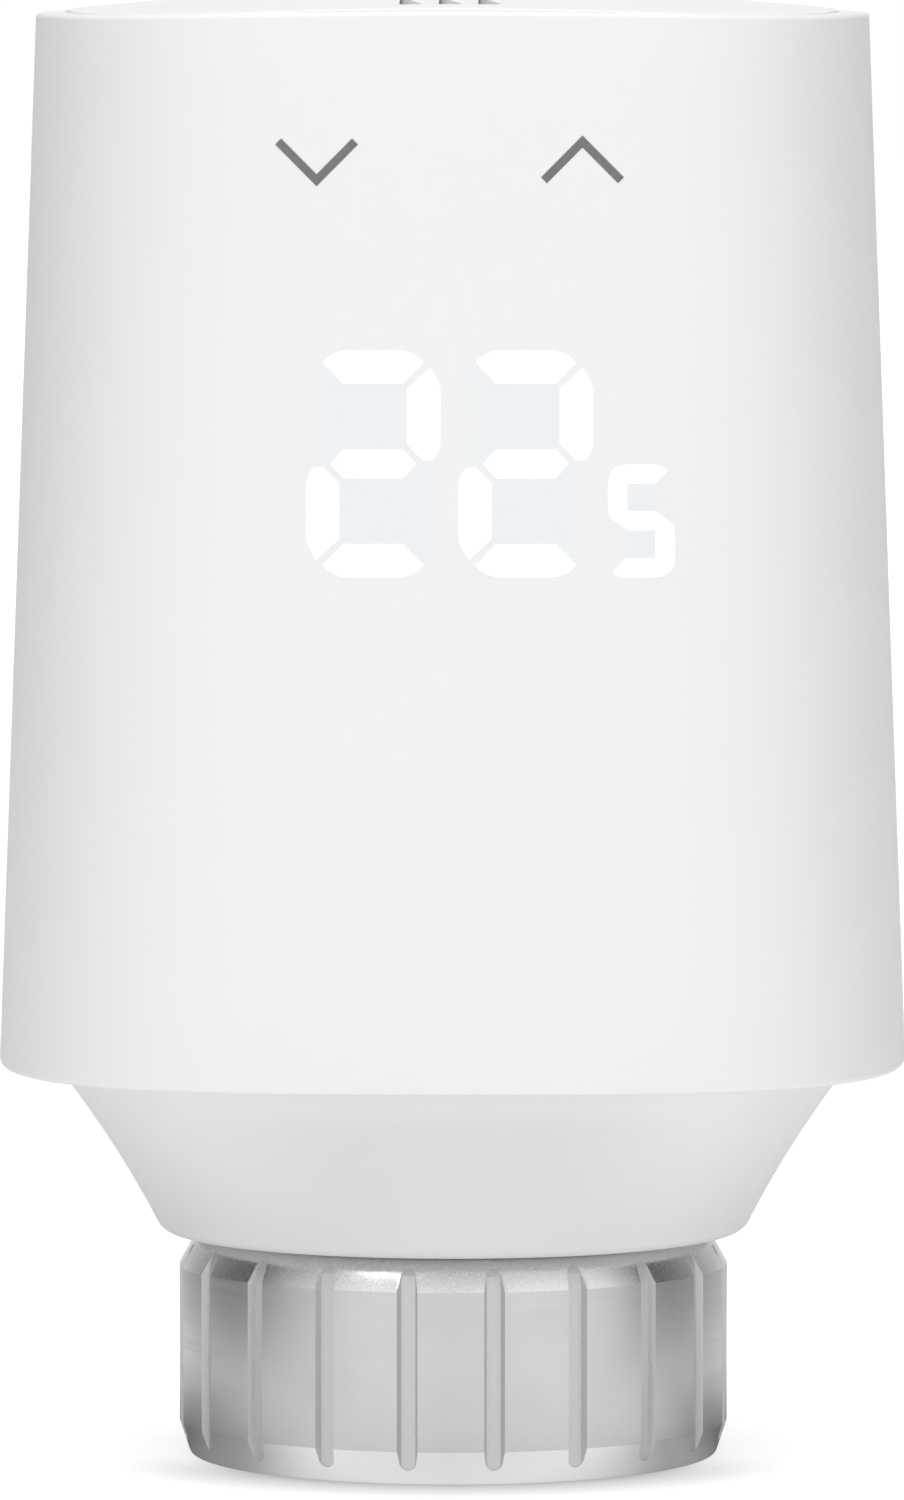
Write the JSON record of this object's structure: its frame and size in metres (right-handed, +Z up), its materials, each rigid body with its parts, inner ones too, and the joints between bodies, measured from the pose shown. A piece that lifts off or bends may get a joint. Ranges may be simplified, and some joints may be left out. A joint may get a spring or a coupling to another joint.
{
  "type": "radiator thermostat head",
  "caption": "Tapered rounded-square radiator thermostat head with a lit temperature display, touch arrows, a flared collar and a grooved union nut that screws onto the valve.",
  "frame": {"origin": "centre of the union nut's lower face, on the valve's axis", "axes": "+Z up the valve's axis towards the battery cover, -Y out of the display's face, +X to the right as the display is read"},
  "size_m": [0.0558, 0.0558, 0.0907],
  "materials": {
    "white_shell": "satin white moulding",
    "nickel_nut": "satin nickel plate over brass",
    "grey_nylon": "dark grey glass-filled nylon",
    "white_nylon": "natural white nylon",
    "gear_plastic": "natural acetal",
    "spring_steel": "bright steel",
    "motor_steel": "plated steel can",
    "magnet": "ferrite",
    "copper_winding": "enamelled copper wire",
    "brass_part": "plain brass",
    "screw_steel": "zinc-plated steel",
    "cell_jacket": "printed cell jacket",
    "nickel_contact": "nickel-plated spring steel",
    "board_green": "solder mask on glass-epoxy",
    "shield_tin": "tin-plated shield",
    "reflector_white": "matt white moulding",
    "lit_diffuser": "milky diffuser",
    "black_epoxy": "black epoxy"
  },
  "bodies": {
    "housing": {"main_shell": "white_shell", "lower_collar": "white_shell", "neck_bush": "grey_nylon", "neck_retaining_ring": "spring_steel", "gearbox_base": "grey_nylon", "gearbox_lid": "grey_nylon", "thrust_washer": "spring_steel", "second_gear_axle": "spring_steel", "first_gear_axle": "spring_steel", "motor_can": "motor_steel", "motor_magnets": "magnet", "motor_end_cap": "white_nylon", "motor_terminals": "brass_part", "base_screws": "screw_steel", "lid_screws": "screw_steel", "battery_tray": "white_nylon", "battery_left": "cell_jacket", "battery_right": "cell_jacket", "cell_spring_contact": "nickel_contact", "cell_plate_contact": "nickel_contact", "circuit_board": "board_green", "radio_module": "shield_tin", "display_reflector": "reflector_white", "display_segments": "lit_diffuser", "touch_spring_down": "nickel_contact", "touch_spring_up": "nickel_contact", "temperature_sensor": "black_epoxy", "board_chips": "black_epoxy"},
    "nut": {"union_nut": "nickel_nut"},
    "cover": {"battery_cover": "white_shell", "cover_contact_bridge": "nickel_contact"},
    "drive_gear": {"drive_gear": "gear_plastic"},
    "second_gear": {"second_gear": "gear_plastic"},
    "first_gear": {"first_gear": "gear_plastic"},
    "motor_rotor": {"motor_shaft": "spring_steel", "motor_armature": "copper_winding", "motor_pinion": "brass_part"},
    "plunger": {"plunger": "gear_plastic", "plunger_tip": "spring_steel"}
  },
  "joints": [
    {"name": "nut_spin", "type": "hinge", "parent": "housing", "child": "nut", "pos_m": [0, 0, 0], "axis": [0, 0, 1], "continuous": true},
    {"name": "cover_lift", "type": "slide", "parent": "housing", "child": "cover", "axis": [0, 0, 1], "range_m": [0, 0.02]},
    {"name": "drive_gear_turn", "type": "hinge", "parent": "housing", "child": "drive_gear", "pos_m": [0, 0, 0], "axis": [0, 0, 1], "range_deg": [0, 1080]},
    {"name": "second_gear_turn", "type": "hinge", "parent": "housing", "child": "second_gear", "pos_m": [-0.00792, -0.00792, 0], "axis": [0, 0, 1], "range_deg": [-3961, 0]},
    {"name": "first_gear_turn", "type": "hinge", "parent": "housing", "child": "first_gear", "pos_m": [-0.00087, -0.01383, 0], "axis": [0, 0, 1], "range_deg": [0, 11221]},
    {"name": "motor_turn", "type": "hinge", "parent": "housing", "child": "motor_rotor", "pos_m": [0.0071, -0.00923, 0], "axis": [0, 0, 1], "range_deg": [-40393, 0]},
    {"name": "plunger_stroke", "type": "slide", "parent": "housing", "child": "plunger", "axis": [0, 0, -1], "range_m": [0, 0.0045]}
  ],
  "couplings": [
    {"joint": "second_gear_turn", "follows": "drive_gear_turn", "ratio": -3.6667},
    {"joint": "first_gear_turn", "follows": "drive_gear_turn", "ratio": 10.389},
    {"joint": "motor_turn", "follows": "drive_gear_turn", "ratio": -37.4},
    {"joint": "plunger_stroke", "follows": "drive_gear_turn", "m_per_rad": 0.00023873}
  ]
}
